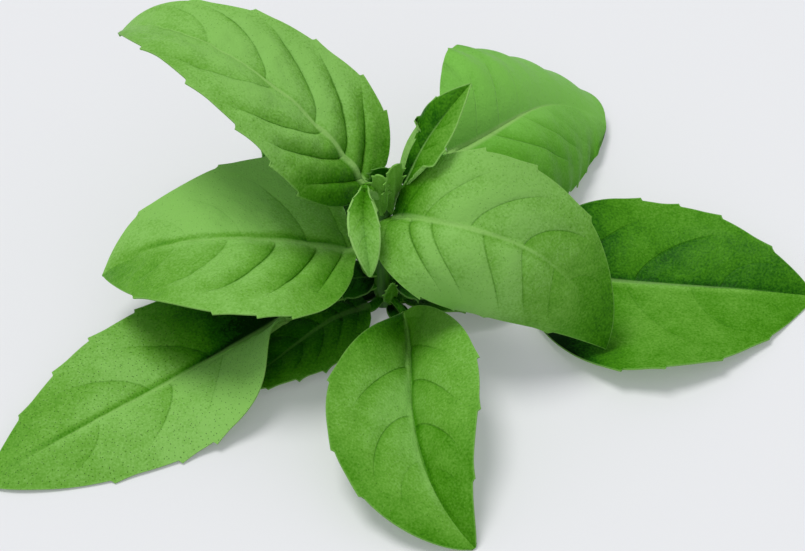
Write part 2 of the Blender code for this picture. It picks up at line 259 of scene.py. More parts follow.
def softNoise(x, y, size, seed):
    # Smooth random hills between -0.5 and 0.5, about "size" millimetres apart
    heights = np.random.default_rng(seed).random((noiseGrid, noiseGrid)) - 0.5
    column = np.floor(x / size).astype(int)
    row = np.floor(y / size).astype(int)
    across = smooth(x / size - column, 0, 1)
    up = smooth(y / size - row, 0, 1)
    here = column % noiseGrid
    beside = (column + 1) % noiseGrid
    lower = heights[row % noiseGrid, here] * (1 - across) + heights[row % noiseGrid, beside] * across
    above = (row + 1) % noiseGrid
    upper = heights[above, here] * (1 - across) + heights[above, beside] * across
    return lower * (1 - up) + upper * up


def midribFrame(leaf, t):
    # Point on the midrib, then the leaf's left and its upper side there
    steps = np.linspace(0, 1, midribSteps + 1)
    heading = np.radians(along(leaf["heading"], steps))
    pitch = np.radians(along(leaf["pitch"], steps))
    forward = np.stack([np.cos(pitch) * np.cos(heading), np.cos(pitch) * np.sin(heading), np.sin(pitch)], 1)
    moves = (forward[1:] + forward[:-1]) / 2 * leaf["length"] / midribSteps
    path = np.vstack([np.zeros(3), np.cumsum(moves, axis=0)]) + np.array(leaf["base"])
    point = np.stack([np.interp(t, steps, path[:, axis]) for axis in range(3)], -1)

    heading = np.radians(along(leaf["heading"], t))
    pitch = np.radians(along(leaf["pitch"], t))
    roll = np.radians(along(leaf["roll"], t))[..., None]
    levelLeft = np.stack([-np.sin(heading), np.cos(heading), np.zeros_like(heading)], -1)
    levelUp = [-np.sin(pitch) * np.cos(heading), -np.sin(pitch) * np.sin(heading), np.cos(pitch)]
    levelUp = np.stack(levelUp, -1)
    left = np.cos(roll) * levelLeft + np.sin(roll) * levelUp
    up = np.cos(roll) * levelUp - np.sin(roll) * levelLeft
    return point, left, up


def outlineWidth(leaf, t):
    # Half the width of the ovate blade
    widest = leaf["widest"]
    taper = leaf["taper"]
    swell = taper * widest / (1 - widest)
    crest = widest ** swell * (1 - widest) ** taper
    return leaf["width"] / 2 * t ** swell * (1 - t) ** taper / crest


def sweptAlong(u, reach, sweep):
    # A side vein leaves the midrib at u and runs forward on its way to the margin
    return np.clip(u + sweep * np.sqrt(u) * (1 - u) * reach ** 1.6, 0, 1)


def toothProfile(leaf, t, side):
    # Each tooth rises slowly towards the tip and drops back in one step
    rise = np.zeros_like(t)
    for tooth in leaf["teeth" + side]:
        share = (t - tooth + leaf["toothLength"]) / leaf["toothLength"]
        rise = np.maximum(rise, np.where((share > 0) & (share <= 1), np.clip(share, 0, 1) ** 1.7, 0))
    return rise


def rowPlaces(leaf, steps):
    # Rows of the blade, closer near the base, with one on each side vein and two at each tooth
    rows = list(np.linspace(0, 1, steps) ** 1.5)
    starts = np.linspace(0, 1, 10 * midribSteps + 1)
    for side in ("Left", "Right"):
        margin = sweptAlong(starts, 1.0, leaf["sweep" + side])
        rows += [vein for vein, depth in leaf["veins" + side]]
        for tooth in leaf["teeth" + side]:
            rows += [np.interp(tooth + step, margin, starts) for step in toothRows]
    return np.array(sorted(rows))


def unfold(leaf, t, hand, reach, reachOut, distance):
    # Places a distance from the midrib on the folded, curled, waved and rolled blade
    point, left, up = midribFrame(leaf, t)
    isLeft = hand > 0
    fold = sideValue(leaf, "fold", isLeft, t)
    fold = fold + np.where(isLeft, *leaf["baseFold"]) * np.exp(-t / baseFoldReach)
    curl = sideValue(leaf, "curl", isLeft)
    bend = np.radians(fold * np.minimum(1, reachOut / foldWidth) + curl * distance / leaf["width"])
    sideways = distance * np.cos(bend)
    rise = distance * np.sin(bend)
    wave = np.sin(2 * np.pi * (leaf["waves"] * t + waveLag * hand)) * reach ** 2
    rise = rise + leaf["wave"] * wave * np.minimum(1, reachOut / (wideBlade * leaf["size"]))
    for side, start, angle, first, last in leaf["rolledRims"]:
        ending = smooth(t, first - rimRunIn, first) * (1 - smooth(t, last, last + rimRunIn))
        beyond = np.where((hand == side) & (reach > start), (reach - start) / (1 - start), 0)
        strip = (1 - start) * reachOut
        bent = np.minimum(beyond, rimBend)
        turn = np.maximum(math.radians(angle) * bent / rimBend * ending, 1e-6)
        chord = bent * strip * np.sin(turn / 2) / (turn / 2)
        flat = (beyond - bent) * strip
        sideways = sideways + chord * np.cos(bend + turn / 2) + flat * np.cos(bend + turn)
        rise = rise + chord * np.sin(bend + turn / 2) + flat * np.sin(bend + turn)
        sideways = sideways - beyond * strip * np.cos(bend)
        rise = rise - beyond * strip * np.sin(bend)
    return point + (hand * sideways)[..., None] * left + rise[..., None] * up


def bladeSurface(leaf, columns, steps):
    # The blade's middle surface with and without teeth, its relief, and what the finish reads
    u = rowPlaces(leaf, steps)[:, None] * np.ones(len(columns))
    reach = np.abs(columns) * np.ones_like(u)
    hand = np.where(columns < 0, -1.0, 1.0) * np.ones_like(u)
    isLeft = hand > 0
    t = sweptAlong(u, reach, sideValue(leaf, "sweep", isLeft))

    size = leaf["size"]
    half = outlineWidth(leaf, t) * sideValue(leaf, "share", isLeft, t)
    narrow = (leaf["stalkWidth"] * (1 - t) + tipWidth * t) / 2
    room = np.minimum(1, half / (narrowBlade * size))
    reachOut = np.sqrt(half ** 2 + narrow ** 2) - marginTrim * size * room
    distance = reach * reachOut
    calm = unfold(leaf, t, hand, reach, reachOut, distance)
    teeth = np.where(isLeft, toothProfile(leaf, t, "Left"), toothProfile(leaf, t, "Right"))
    withTeeth = distance + leaf["toothDepth"] * teeth * room * reach ** 8
    toothed = unfold(leaf, t, hand, reach, reachOut, withTeeth)

    # Side veins: a number that grows by one from each to the next, and how deep the nearest lies
    phase = np.zeros_like(u)
    depth = np.zeros_like(u)
    panelDepth = np.zeros_like(u)
    for here, veins in ((isLeft, leaf["veinsLeft"]), (~isLeft, leaf["veinsRight"])):
        starts = (0.0,) + tuple(vein[0] for vein in veins) + (1.0,)
        depths = np.array((0.0,) + tuple(vein[1] for vein in veins) + (0.0,))
        count = np.interp(u, starts, range(len(starts)))
        phase = np.where(here, count, phase)
        panelDepth = np.where(here, np.interp(count, range(len(starts)), depths), panelDepth)
        depth = np.where(here, depths[np.rint(count).astype(int)], depth)
    span = np.minimum(1, half / (wideBlade * size))
    fading = (1 - smooth(reach, leaf["veinEnd"] - 0.35, leaf["veinEnd"])) * smooth(reach, 0.0, 0.06)
    crease = (1 - np.abs(np.sin(np.pi * phase)) ** 0.8) * depth * fading
    fromBase = t * leaf["length"]
    across = hand * distance
    hills = softNoise(fromBase, across, leaf["hillSize"], leaf["seed"])
    hills = hills + 0.5 * softNoise(fromBase, across, leaf["hillSize"] / 2, leaf["seed"] + 1)
    swell = softNoise(fromBase, across, leaf["swellSize"], leaf["seed"] + 2)
    calmEdge = (1 - smooth(reach, 0.85, 1.0)) * span
    groove = np.exp(-(distance / leaf["grooveWidth"]) ** 1.3) * smooth(t, 0.0, 0.08) * (1 - 0.6 * t)
    relief = (leaf["blister"] * hills + leaf["swell"] * swell) * calmEdge
    relief = relief - leaf["quilt"] * crease * span - leaf["groove"] * groove * span
    # Where the painted shading beside the midrib falls
    ribShadingMask = np.exp(-((distance - leaf["ribSide"]) / leaf["ribReach"]) ** 2) * smooth(t, 0.02, 0.12)
    ribShadingMask = ribShadingMask * (1 - smooth(t, leaf["ribEnd"] - 0.3, leaf["ribEnd"]))

    spacing = np.abs(np.gradient(fromBase, axis=0)) / np.maximum(np.abs(np.gradient(phase, axis=0)), 1e-4)
    # Darker towards the base: partly the leaf's own colour, partly painted shadow
    toneAndShade = leaf["toneAndShade"] - np.where(isLeft, *leaf["baseToneAndShade"]) * (1 - smooth(t, 0.0, leaf["baseShadeReach"]))
    # Darker towards the tip as painted shade
    toneAndShade = toneAndShade + leaf["tipShade"] * smooth(t, 0.4, 1.0)
    # Painted shading across each panel between side veins, from darker just past one vein to lighter before
    # the next
    terraceShading = (phase - np.floor(phase) - 0.5) * panelDepth * fading
    # Painted light and shade across each half, running from the midrib to the margin
    sideLightAndShade = sideValue(leaf, "toneAndShade", isLeft, reach)
    # Darker in the vein creases as painted shade
    toneAndShade = toneAndShade - 0.1 * crease + 0.35 * swell * leaf["patches"] + leaf["terraceShading"] * terraceShading + sideLightAndShade
    # Painted shade on one side of the midrib and painted light on the other
    toneAndShade = toneAndShade + np.where(isLeft, *leaf["ribLightAndShade"]) * ribShadingMask
    values = {
        "ribShade": leaf["rib"] * (1 - smooth(t, leaf["ribEnd"] - 0.5, leaf["ribEnd"])),
        "veinPhase": phase,
        "veinGap": np.minimum(spacing, 12.0) * 0.8,
        "veinShade": np.minimum(depth, 1) * fading,
        "toMidrib": across,
        "fromBase": fromBase,
        "alongLeaf": t,
        "toMargin": (1 - reach) * reachOut,
        "toneAndShade": toneAndShade,
    }
    return calm, toothed, relief, distance, t, values


def stemCenter(height):
    bow = stem["bow"] * math.sin(math.pi * height / stem["height"])
    return np.array([stem["lean"] * height - bow, 0.0, height])


def stalkRows(leaf, count):
    # Centres and left directions of the stalk, from inside the stem to the blade
    base = np.array(leaf["base"])
    center = stemCenter(leaf["joint"])
    outward = (base - center) * (1, 1, 0)
    outward = outward / np.linalg.norm(outward)
    start = center + outward * leaf["stalkStart"]
    point, left, up = midribFrame(leaf, np.array([0.0]))
    forward = np.cross(left[0], up[0])
    handle = np.linalg.norm(base - start) / 3
    k = np.linspace(0, 1, count + 1)[:-1, None]
    centers = ((1 - k) ** 3 * start + 3 * k * (1 - k) ** 2 * (start + outward * handle)
               + 3 * k * k * (1 - k) * (base - forward * handle) + k ** 3 * base)
    lefts = (1 - k) * np.array([-outward[1], outward[0], 0.0]) + k * left[0]
    return centers, lefts / np.linalg.norm(lefts, axis=1, keepdims=True)


def leafSheets(leaf):
    # Upper and lower points of the leaf, row by row from the stem to the tip
    even = np.linspace(0, 1, leaf["points"])
    spread = 0.55 * even + 0.45 * (1 - np.cos(np.pi * even)) / 2
    columns = np.concatenate([-spread[:0:-1], spread])
    evenColumns = np.concatenate([-even[:0:-1], even])
    calm, toothed, relief, distance, t, values = bladeSurface(leaf, columns, leaf["rows"])

    radius = leaf["stalkWidth"] / 2
    centers, lefts = stalkRows(leaf, leaf["stalkRows"])
    roundX = np.sin(np.pi / 2 * evenColumns) * radius
    stalk = centers[:, None, :] + roundX[None, :, None] * lefts[:, None, :]
    calm = np.concatenate([stalk, calm])
    middle = np.concatenate([stalk, toothed])
    blank = np.zeros((len(centers), len(columns)))
    relief = np.concatenate([blank, relief])
    distance = np.concatenate([np.abs(roundX) + blank, distance])
    t = np.concatenate([blank, t])

    normals = np.cross(np.gradient(calm, axis=0), np.gradient(calm, axis=1))
    normals /= np.maximum(np.linalg.norm(normals, axis=2, keepdims=True), 1e-9)
    thin = leaf["thickness"] / 2 * (1 - 0.35 * smooth(np.abs(columns), 0.7, 1.0))[None, :]
    roundness = 1 - smooth(t, 0.0, leaf["stalkFade"])
    tube = np.sqrt(np.maximum(radius ** 2 - distance ** 2, 0))
    upperThick = np.maximum(thin, roundness * tube)
    ribRadius = radius * (1 - 0.8 * t)
    ribTube = np.sqrt(np.maximum(ribRadius ** 2 - distance ** 2, 0))
    lowerThick = np.maximum(thin, np.maximum(roundness * tube, 0.8 * ribTube))
    upper = middle + normals * (upperThick + relief)[..., None]
    lower = middle - normals * (lowerThick - relief)[..., None]
    lower[..., 2] = np.maximum(lower[..., 2], tableGap)
    upper[..., 2] = np.maximum(upper[..., 2], lowestTop)

    # What the finish reads on the stalk, which has no rim and counts back from the blade
    starts = {
        "ribShade": blank + leaf["stalkRib"],
        "toMidrib": roundX + blank,
        "toMargin": blank + 5.0,
        # The stalk's tones, lowered as painted shade on stalks that lie in shadow
        "toneAndShade": blank + leaf["stalkToneAndShade"],
        "fromBase": blank + np.linspace(-8, -0.1, len(centers))[:, None],
    }
    whole = {key: np.concatenate([starts.get(key, blank), value]) for key, value in values.items()}
    return upper, lower, whole


def gridFaces(rows, columns):
    row, column = np.meshgrid(np.arange(rows - 1), np.arange(columns - 1), indexing="ij")
    a = (row * columns + column).ravel()
    return np.stack([a, a + 1, a + columns + 1, a + columns], 1)


def makeLeaf(name, leaf, upperFinish, lowerFinish=leafUnderside):
    upper, lower, values = leafSheets(leaf)
    rows, columns = upper.shape[:2]
    count = rows * columns
    quads = gridFaces(rows, columns)
    top = quads[:, ::-1]
    bottom = quads + count
    ring = np.concatenate([
        np.arange(columns), np.arange(1, rows) * columns + columns - 1,
        (rows - 1) * columns + np.arange(columns - 2, -1, -1), np.arange(rows - 2, 0, -1) * columns,
    ])
    ahead = np.roll(ring, -1)
    strip = np.stack([ring, ahead, ahead + count, ring + count], 1)
    faces = np.concatenate([top, bottom, strip])
    points = np.concatenate([upper.reshape(-1, 3), lower.reshape(-1, 3)]) * mm + foot

    mesh = bpy.data.meshes.new(name)
    mesh.from_pydata(points.tolist(), [], faces.tolist())
    for key, value in values.items():
        # The underside is one shade of green per leaf, dark as painted shade on leaves that lie in shade
        under = value if key != "toneAndShade" else np.full_like(value, leaf["underToneAndShade"])
        both = np.concatenate([value.ravel(), under.ravel()]).astype(np.float32)
        mesh.attributes.new(key, "FLOAT", "POINT").data.foreach_set("value", both)
    mesh.materials.append(upperFinish)
    mesh.materials.append(lowerFinish)
    finishes = np.zeros(len(faces), np.int32)
    finishes[len(top):] = 1
    mesh.polygons.foreach_set("material_index", finishes)
    mesh.shade_smooth()
    mesh.set_sharp_from_angle(angle=math.radians(sharpAngle))
    mesh.validate()
    piece = bpy.data.objects.new(name, mesh)
    bpy.context.scene.collection.objects.link(piece)
    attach(piece, "root")
    if leaf["node"]:
        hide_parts(leaf["node"])
    print("basil sprig:", name, "has", 2 * len(faces), "triangles")


stem = dict(height=29.5, footWidth=3.4, topWidth=2.3, lean=0.035, bow=1.2, corner=0.1,
            joints=(4.5, 21.0, 28.5), jointSwell=0.3, jointReach=1.6, sides=40, rings=90)

# The two values of baseFold, of the darkening at the base and of the shading beside the midrib are
# for the left and the right side, and the tones of the two halves run from the midrib to the margin.
# The darkening at the base is partly the leaf's own colour and partly painted shadow; a darker tip,
# the tones of the halves and the shading beside the midrib are painted light and shade, and each
# leaf's overall tones are lowered as painted shade where it lies in shade. A vein is its place on the
# midrib and its depth, a tooth its place on the margin. A rolled rim is its side, 1 for the left,
# the share of the half width where it starts, its angle, and where it begins and ends
largeLeaf = dict(
    size=1.0, stalkWidth=1.9, stalkStart=1.0, stalkRows=24, rows=bladeSteps, points=sideSteps,
    thickness=0.42, quilt=0.45, wave=0.2, waves=3.0, rolledRims=(), baseFold=(0, 0), stalkFade=0.07,
    toothDepth=0.75, toothLength=0.07, sweepLeft=0.85, sweepRight=0.85, veinEnd=0.85,
    blister=0.12, hillSize=2.6, swell=0.25, swellSize=7.0, groove=0.35, grooveWidth=1.4,
    ribEnd=0.97, ribLightAndShade=(0, 0), ribSide=0.5, ribReach=0.7, stalkRib=0.0, stalkToneAndShade=0.28,
    baseToneAndShade=(0.3, 0.3), baseShadeReach=0.4, tipShade=0.0, toneAndShadeLeft=(0, 0), toneAndShadeRight=(0, 0), underToneAndShade=0.5,
    terraceShading=0.2, patches=0.3,
)

upperLeftLeaf = dict(
    largeLeaf, node="leaf_upper_left", joint=21.0, base=(-3.0, 4.5, 24.0), length=65.5, width=29.5,
    heading=(155, 150, 130), pitch=(60, 15, -55), roll=(-15, 20, -15),
    foldLeft=(10, 15), foldRight=(10, 20), curlLeft=-45, curlRight=0,
    widest=0.32, taper=1.0, shareLeft=0.96, shareRight=1.04, sweepLeft=0.78, sweepRight=0.95,
    veinsLeft=((0.044, 0.7), (0.124, 0.9), (0.214, 0.8), (0.395, 0.5), (0.60, 0.1)),
    veinsRight=((0.045, 1), (0.117, 1), (0.24, 0.9), (0.418, 0.7), (0.61, 0.3)),
    teethLeft=(0.16, 0.276, 0.395, 0.549, 0.711), teethRight=(0.117, 0.22, 0.385, 0.586, 0.76),
    quilt=0.8, blister=0.4, veinEnd=0.98, groove=0.15, grooveWidth=0.9, terraceShading=0.3,
    rib=0.95, ribLightAndShade=(-0.08, -0.12), stalkRib=0.95, stalkToneAndShade=0.8, stalkFade=0.3,
    toneAndShade=1.0, baseToneAndShade=(0.65, 0.5), baseShadeReach=0.33, tipShade=-0.08, toneAndShadeLeft=(0.06, -0.1),
    toneAndShadeRight=(0.05, 0.0), seed=11,
)
makeLeaf("upperLeftLeaf", upperLeftLeaf, leafGreen)

leftLeaf = dict(
    largeLeaf, node="leaf_left", joint=8.5, base=(-5.2, -2.2, 15.3), length=49.0, width=39.5,
    heading=(185, 180, 175), pitch=(25, -5, -50), roll=(-5, 5, -5),
    foldLeft=(5, 5), foldRight=(-5, 10), curlLeft=-5, curlRight=0,
    widest=0.37, taper=0.95, shareLeft=1.06, shareRight=(1.65, 1.02, 1.18), sweepLeft=0.9, sweepRight=1.05,
    veinsLeft=((0.046, 0.7), (0.145, 1), (0.296, 1), (0.47, 0.5), (0.66, 0.2)),
    veinsRight=((0.025, 0.4), (0.18, 0.5), (0.42, 0.2), (0.62, 0.2)),
    teethLeft=(0.249, 0.36, 0.496, 0.789), teethRight=(0.34, 0.529, 0.828),
    quilt=0.8, blister=0.3, groove=0.5, grooveWidth=1.3, rib=0.45, terraceShading=0.3,
    # Painted light on the far half where the upper left leaf's shadow falls, painted shade on the tip and
    # base
    toneAndShade=0.93, baseToneAndShade=(0.25, 0.5), baseShadeReach=0.5, ribSide=0.8, ribReach=0.9, ribLightAndShade=(0.12, -0.35),
    tipShade=-0.33, toneAndShadeRight=(0.2, 0.3, 0.4), seed=21,
)
makeLeaf("leftLeaf", leftLeaf, leafGreen)

centerRightLeaf = dict(
    largeLeaf, node="leaf_center_right", joint=22.0, base=(1.9, -3.3, 24.5), length=56.0, width=27.5,
    heading=(-62, -1, -41), pitch=(55, -35, -68), roll=(7, 24, 13), baseFold=(28, 35),
    foldLeft=(36, 17, 20), foldRight=(5, -5), curlLeft=-11, curlRight=-91,
    widest=0.38, taper=0.96, shareLeft=1.01, shareRight=1.21, sweepLeft=0.8, sweepRight=0.75,
    veinsLeft=((0.05, 0.4), (0.159, 0.5), (0.312, 0.8), (0.489, 1), (0.70, 0.4)),
    veinsRight=((0.02, 0.4), (0.109, 0.9), (0.19, 0.8), (0.356, 0.8), (0.488, 0.7), (0.625, 0.5),
                (0.78, 0.2)),
    teethLeft=(0.3, 0.45, 0.65), teethRight=(0.163, 0.347, 0.57, 0.818),
    quilt=0.5, blister=0.16, groove=0.2, grooveWidth=0.8, rib=0.65, ribEnd=0.8, ribLightAndShade=(-0.05, -0.12),
    # The far half's base is darkened as painted shadow of the young back leaf, the drooping tip as painted
    # shade
    toneAndShade=0.98, baseToneAndShade=(0.72, 0.36), baseShadeReach=0.25, tipShade=-0.6, toneAndShadeRight=(0, 0.1), seed=31,
)
makeLeaf("centerRightLeaf", centerRightLeaf, leafGreen)

frontLeaf = dict(
    largeLeaf, node="leaf_front", joint=3.5, base=(3.4, -6.0, 3.1), length=53.0, width=28.5,
    heading=(-81, -84, -40), pitch=(5, 0, -25), roll=(5, 10, 20),
    foldLeft=(65, 36), foldRight=(60, 22), curlLeft=-42, curlRight=-13,
    widest=0.49, taper=0.73, shareLeft=(1.14, 1.03, 0.66), shareRight=(0.64, 1.16, 0.86),
    sweepLeft=0.9, sweepRight=1.1, stalkWidth=1.3,
    veinsLeft=((0.03, 0.3), (0.17, 0.6), (0.335, 0.9), (0.525, 0.9), (0.70, 0.3)),
    veinsRight=((0.02, 0.5), (0.26, 1), (0.48, 0.9), (0.66, 0.3)),
    teethLeft=(0.4, 0.61, 0.83), teethRight=(0.43, 0.62, 0.74), toothDepth=0.55,
    # Its base, tip and left half are darkened as painted shade
    quilt=0.4, veinEnd=0.8, blister=0.16, grooveWidth=0.7, rib=0.35, ribLightAndShade=(-0.22, 0.15), toneAndShade=0.93,
    baseToneAndShade=(0.15, 0.5), tipShade=-0.22, toneAndShadeLeft=(-0.2, -0.17), toneAndShadeRight=(0.05, -0.25), seed=41,
)
makeLeaf("frontLeaf", frontLeaf, leafGreen)

lowerLeftLeaf = dict(
    largeLeaf, node="leaf_lower_left", joint=5.5, base=(-17.5, -9.0, 5.7), length=61.9, width=35.0,
    heading=(195, 220, 205), pitch=(-30, 5, -20), roll=(15, -5, -5),
    foldLeft=(40, -10), foldRight=(20, -10), curlLeft=-30, curlRight=-15,
    widest=0.31, taper=0.8, shareLeft=0.98, shareRight=0.98, sweepRight=1.0,
    veinsLeft=((0.08, 0.2), (0.212, 0.5), (0.39, 0.8), (0.639, 0.4), (0.80, 0.1)),
    veinsRight=((0.09, 0.2), (0.243, 0.6), (0.45, 0.7), (0.70, 0.2)),
    teethLeft=(0.42, 0.529, 0.708), teethRight=(0.332, 0.487, 0.639, 0.811),
    quilt=0.35, veinEnd=0.8, blister=0.14, groove=0.4, grooveWidth=0.8, rib=0.5, ribLightAndShade=(0.1, -0.33),
    # The far half is darkened near the base as painted shadow of the left leaf above it, the tip as painted
    # shade
    toneAndShade=0.97, baseToneAndShade=(-0.15, 1.2), baseShadeReach=0.47, tipShade=-0.3, toneAndShadeLeft=(0, 0.05),
    toneAndShadeRight=(0.02, -0.08), seed=51,
)
dottedLook = dict(upperLook, glandShare=0.9, glandSize=0.13, glandTone=0.8)
lowerLeftGreen = leafFinish("basilLeafDotted", dottedLook)
makeLeaf("lowerLeftLeaf", lowerLeftLeaf, lowerLeftGreen)

shadedLeafVeins = ((0.06, 0.5), (0.17, 0.7), (0.30, 0.7), (0.45, 0.6), (0.60, 0.4))
# Leaves that lie in shade below the others; their low tones and dark undersides are painted shade
shadedLeaf = dict(
    largeLeaf, veinsLeft=shadedLeafVeins, veinsRight=shadedLeafVeins,
    teethLeft=(0.35, 0.5, 0.65, 0.8), teethRight=(0.3, 0.45, 0.6, 0.75), underToneAndShade=0.1,
)

smallLeftLeaf = dict(
    shadedLeaf, node="leaf_small_left", joint=2.0, base=(-3.0, -3.6, 2.4), length=32.0, width=16.0,
    heading=(200, 222, 208), pitch=(12, -8, 3), roll=(0, 0, 5),
    foldLeft=(5, 20), foldRight=(0, -5), curlLeft=-25, curlRight=-10,
    widest=0.36, taper=0.9, shareLeft=1.08, shareRight=(2.0, 1.3, 1.2),
    quilt=0.3, rib=0.2, toneAndShade=0.28, baseToneAndShade=(0.1, 0.1), toneAndShadeLeft=(0.0, 0.25), seed=61,
)
makeLeaf("smallLeftLeaf", smallLeftLeaf, leafGreen)

backRightLeaf = dict(
    largeLeaf, node="leaf_back_right", joint=8.5, base=(11.5, 18.5, 19.2), length=46.9, width=34.0,
    heading=(20, 52, 5), pitch=(15, -25, -47), roll=(6, 15, 0),
    foldLeft=(72, 13), foldRight=(5, -5), curlLeft=-82, curlRight=-65,
    widest=0.49, taper=0.51, shareLeft=(1.34, 1.12, 1.5), shareRight=1.0, sweepLeft=0.6, sweepRight=1.6,
    veinsLeft=((0.03, 0.2), (0.131, 0.6), (0.248, 0.6), (0.38, 0.4), (0.52, 0.2), (0.7, 0.1)),
    veinsRight=((0.06, 0.3), (0.198, 0.8), (0.383, 0.5), (0.55, 0.2)),
    teethLeft=(0.368, 0.5, 0.65, 0.8), teethRight=(0.5, 0.7, 0.846, 0.94),
    quilt=0.15, blister=0.08, groove=0.0, wave=0.55, waves=7.0,
    rib=1.0, ribEnd=0.8, ribLightAndShade=(0.05, 0.05), ribSide=0.0, ribReach=2.0,
    toneAndShade=0.98, baseToneAndShade=(-0.1, 0.1), toneAndShadeLeft=(0.2, -0.1), toneAndShadeRight=(-0.02, -0.3), seed=71,
)
smoothLook = dict(
    upperLook, mottle=0.25, grain=0.25, glandShare=0.1, ribWidth=1.6,
    vein=(0.20, 0.46, 0.09, 1), veinShare=0.45,
    greens=((0.0005, 0.022, 0.0001, 1), (0.010, 0.118, 0.0003, 1), (0.050, 0.250, 0.006, 1),
            (0.115, 0.375, 0.025, 1), (0.200, 0.520, 0.075, 1)),
)
backRightGreen = leafFinish("basilLeafSmooth", smoothLook)
makeLeaf("backRightLeaf", backRightLeaf, backRightGreen)

rightLeaf = dict(
    largeLeaf, node="leaf_right", joint=5.5, base=(24.0, 5.1, 3.9), length=55.0, width=42.5,
    heading=(0, -5, -6), pitch=(-18, 0, -5), roll=(10, -5, 10),
    foldLeft=(38, 38), foldRight=(-5, 0), curlLeft=-47, curlRight=15,
    widest=0.42, taper=0.95, shareLeft=0.84, shareRight=1.2, sweepLeft=1.2, sweepRight=1.0,
    veinsLeft=((0.05, 0.3), (0.165, 0.8), (0.40, 0.9), (0.687, 0.4)),
    veinsRight=((0.06, 0.3), (0.18, 0.4), (0.373, 0.4), (0.589, 0.4), (0.77, 0.1)),
    teethLeft=(0.412, 0.54, 0.68, 0.846), teethRight=(0.35, 0.501, 0.693, 0.848),
    # Its lowered tones, darker base and darker far half are painted shade, under the centre right leaf and
    # on the upturned half
    quilt=0.4, blister=0.16, groove=0.15, rib=0.5, ribLightAndShade=(-0.15, 0.15), toneAndShade=0.7, baseToneAndShade=(0.6, 0.95),
    baseShadeReach=0.45, tipShade=-0.15, toneAndShadeLeft=(-0.3, -0.12), toneAndShadeRight=(0, -0.1), seed=81,
)
makeLeaf("rightLeaf", rightLeaf, leafGreen)

smallRightVeins = ((0.08, 0.5), (0.25, 0.7), (0.42, 0.7), (0.58, 0.5))
smallRightLeaf = dict(
    largeLeaf, node="leaf_small_right", joint=2.0, base=(3.4, -1.2, 2.2), length=21.0, width=10.0,
    heading=(-2, -6, 0), pitch=(8, 0, -12), roll=(-5, -5, -5),
    foldLeft=(10, 5), foldRight=(15, 10), curlLeft=-15, curlRight=-15,
    widest=0.38, taper=0.8, shareLeft=(3.0, 2.0, 1.4), shareRight=0.85,
    veinsLeft=smallRightVeins, veinsRight=smallRightVeins,
    # Its low tones are painted shade
    teethLeft=(0.3, 0.5, 0.7), teethRight=(0.35, 0.55, 0.75), quilt=0.3, rib=0.1, toneAndShade=0.35,
    baseToneAndShade=(0.1, 0.1), underToneAndShade=0.2, seed=91,
)
makeLeaf("smallRightLeaf", smallRightLeaf, leafGreen)

backLeftLeaf = dict(
    shadedLeaf, node="leaf_back_left", joint=2.8, base=(-3.5, 9.0, 4.6), length=43.0, width=23.0,
    heading=(117, 114, 110), pitch=(10, -8, -20), roll=(0, 0, 0),
    foldLeft=(15, 5), foldRight=(15, 5), curlLeft=-20, curlRight=-20,
    widest=0.4, taper=0.9, shareLeft=1.0, shareRight=0.75,
    veinsRight=((0.10, 0.5), (0.24, 0.7), (0.40, 0.7), (0.56, 0.4)), rib=0.1, toneAndShade=0.25, seed=101,
)
makeLeaf("backLeftLeaf", backLeftLeaf, leafGreen)

youngVeins = ((0.15, 0.4), (0.34, 0.5), (0.55, 0.4))
youngLeaf = dict(
    largeLeaf, size=0.5, stalkWidth=0.95, stalkStart=0.8, stalkRows=12, rows=100, points=28,
    thickness=0.34, quilt=0.1, wave=0.1, toothDepth=0.35, blister=0.06, swell=0.1,
    groove=0.15, grooveWidth=0.6, veinsLeft=youngVeins, veinsRight=youngVeins,
)

youngBackLeaf = dict(
    youngLeaf, node="young_leaf_back", joint=28.5, base=(3.7, 0.3, 29.7), length=22.0, width=9.6,
    heading=(38, 28, 50), pitch=(65, 55, 20), roll=(-10, -4, 10),
    foldLeft=(45, 40), foldRight=(30, 20), curlLeft=-86, curlRight=-43,
    widest=0.45, taper=0.9, shareLeft=(1.6, 1.08, 0.92), shareRight=(1.1, 1.1, 0.68),
    # Both halves, the left one most, are darkened as painted shade
    toneAndShade=0.8, toneAndShadeLeft=(-0.4, -0.4), underToneAndShade=0.9, teethLeft=(0.42, 0.75), teethRight=(0.17, 0.52),
    rib=0.8, ribEnd=0.85, toneAndShadeRight=(-0.2, -0.08),
    rolledRims=((1, 0.55, 165, 0.1, 0.45), (-1, 0.78, 110, 0.05, 0.3)), seed=111,
)
makeLeaf("youngBackLeaf", youngBackLeaf, youngGreen, youngUnderside)

youngFrontLeaf = dict(
    youngLeaf, node="young_leaf_front", joint=28.5, base=(-3.2, -2.5, 30.7), length=15.6, width=6.5,
    heading=(-100, -83, -80), pitch=(-5, -30, -65), roll=(5, 5, 5),
    foldLeft=(60, 50), foldRight=(50, 55), curlLeft=-30, curlRight=-45,
    widest=0.5, taper=0.9, shareLeft=1.14, shareRight=(1.3, 1.12, 1.05), stalkWidth=2.6, stalkFade=0.02,
    # The darker middle of the cupped leaf is painted shade
    groove=0.0, rib=0.0, toneAndShade=0.97, baseToneAndShade=(0.55, 0.55), baseShadeReach=0.6, stalkToneAndShade=0.6, underToneAndShade=1.0,
    teethLeft=(0.2, 0.5), teethRight=(0.16, 0.3, 0.55),
    rolledRims=((1, 0.91, 120, 0.05, 0.95), (-1, 0.86, 130, 0.05, 0.95)), seed=121,
)
makeLeaf("youngFrontLeaf", youngFrontLeaf, youngGreen, youngUnderside)
print("basil sprig: leaves grown")


# Stem with its ridges and swollen joints

def stemHalfWidth(height):
    share = height / stem["height"]
    half = (stem["footWidth"] * (1 - share) + stem["topWidth"] * share) / 2
    swell = sum(math.exp(-((height - joint) / stem["jointReach"]) ** 2) for joint in stem["joints"])
    return half + stem["jointSwell"] * swell


